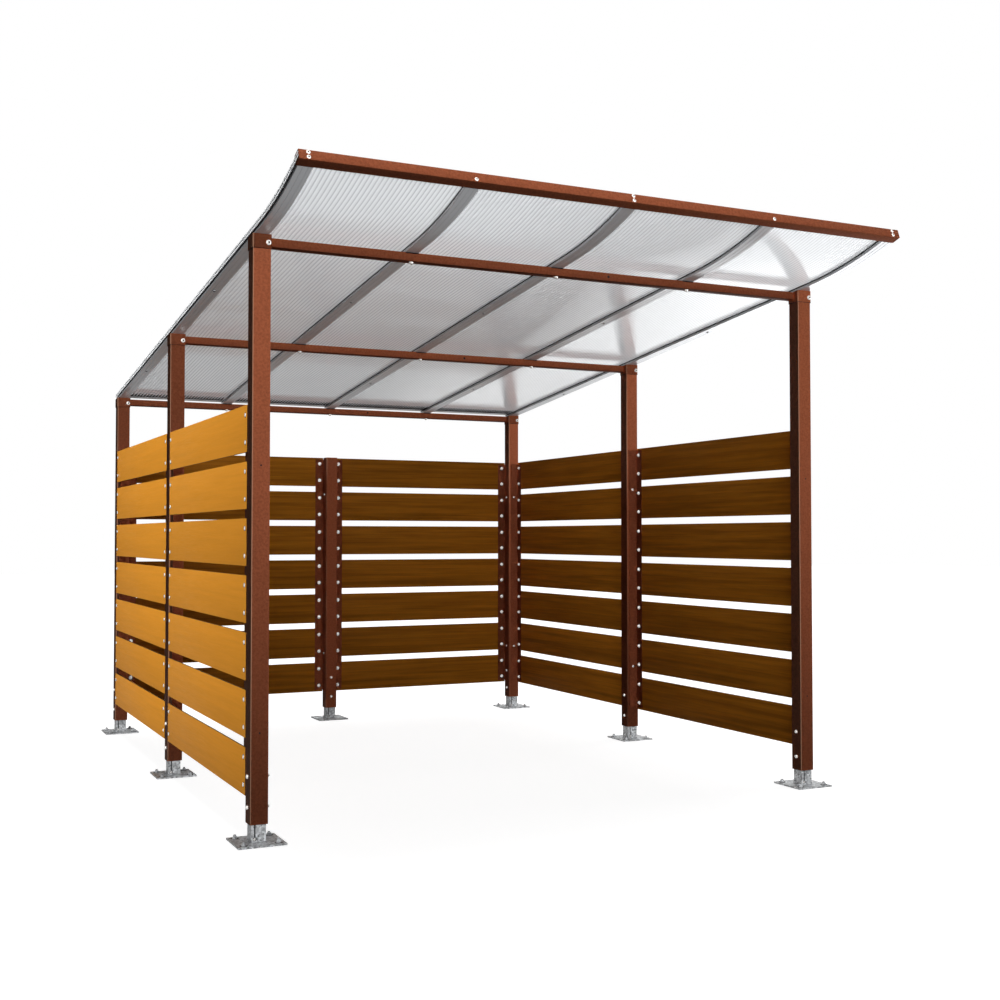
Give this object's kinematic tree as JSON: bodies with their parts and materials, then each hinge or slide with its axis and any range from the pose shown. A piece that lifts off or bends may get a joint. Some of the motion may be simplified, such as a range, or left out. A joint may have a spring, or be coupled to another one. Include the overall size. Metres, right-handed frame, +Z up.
{
  "type": "bin shelter",
  "caption": "Open-fronted bin shelter: square steel posts on bolted plates, slatted board walls and a sloping translucent roof that curves up into a front visor.",
  "frame": {"origin": "on the ground under the middle of the overall box", "axes": "+X from left to right seen from the open front, +Y from the open front to the back wall, +Z up"},
  "size_m": [3.12, 4.2478, 2.7787],
  "materials": {
    "frame_paint": "fine-textured rust-brown powder coat",
    "galvanised_steel": "hot-dip galvanised, matt",
    "aluminium": "satin mill",
    "roof_sheet": "translucent multiwall polycarbonate",
    "boards": "golden stain, satin"
  },
  "bodies": {
    "root": {"post_front_left": "frame_paint", "post_front_right": "frame_paint", "post_middle_left": "frame_paint", "post_middle_right": "frame_paint", "post_rear_left": "frame_paint", "post_rear_right": "frame_paint", "post_rear_middle": "frame_paint", "post_plug_rear_middle": "frame_paint", "foot_front_left": "galvanised_steel", "foot_front_right": "galvanised_steel", "foot_middle_left": "galvanised_steel", "foot_middle_right": "galvanised_steel", "foot_rear_left": "galvanised_steel", "foot_rear_right": "galvanised_steel", "foot_rear_middle": "galvanised_steel", "beam_front": "frame_paint", "beam_middle": "frame_paint", "beam_rear": "frame_paint", "caps_front": "frame_paint", "caps_middle": "frame_paint", "caps_rear": "frame_paint", "visor_rail": "frame_paint", "visor_rail_plugs": "frame_paint", "rafter_left": "aluminium", "rafter_mid_left": "aluminium", "rafter_centre": "aluminium", "rafter_mid_right": "aluminium", "rafter_right": "aluminium", "edge_trim_left": "aluminium", "edge_trim_right": "aluminium", "roof_sheet_left": "roof_sheet", "roof_sheet_mid_left": "roof_sheet", "roof_sheet_mid_right": "roof_sheet", "roof_sheet_right": "roof_sheet", "boards_left_front": "boards", "boards_left_rear": "boards", "boards_right_front": "boards", "boards_right_rear": "boards", "boards_rear_left": "boards", "boards_rear_right": "boards", "angles_left_wall": "frame_paint", "angles_right_wall": "frame_paint", "angles_rear_wall": "frame_paint"}
  },
  "joints": []
}
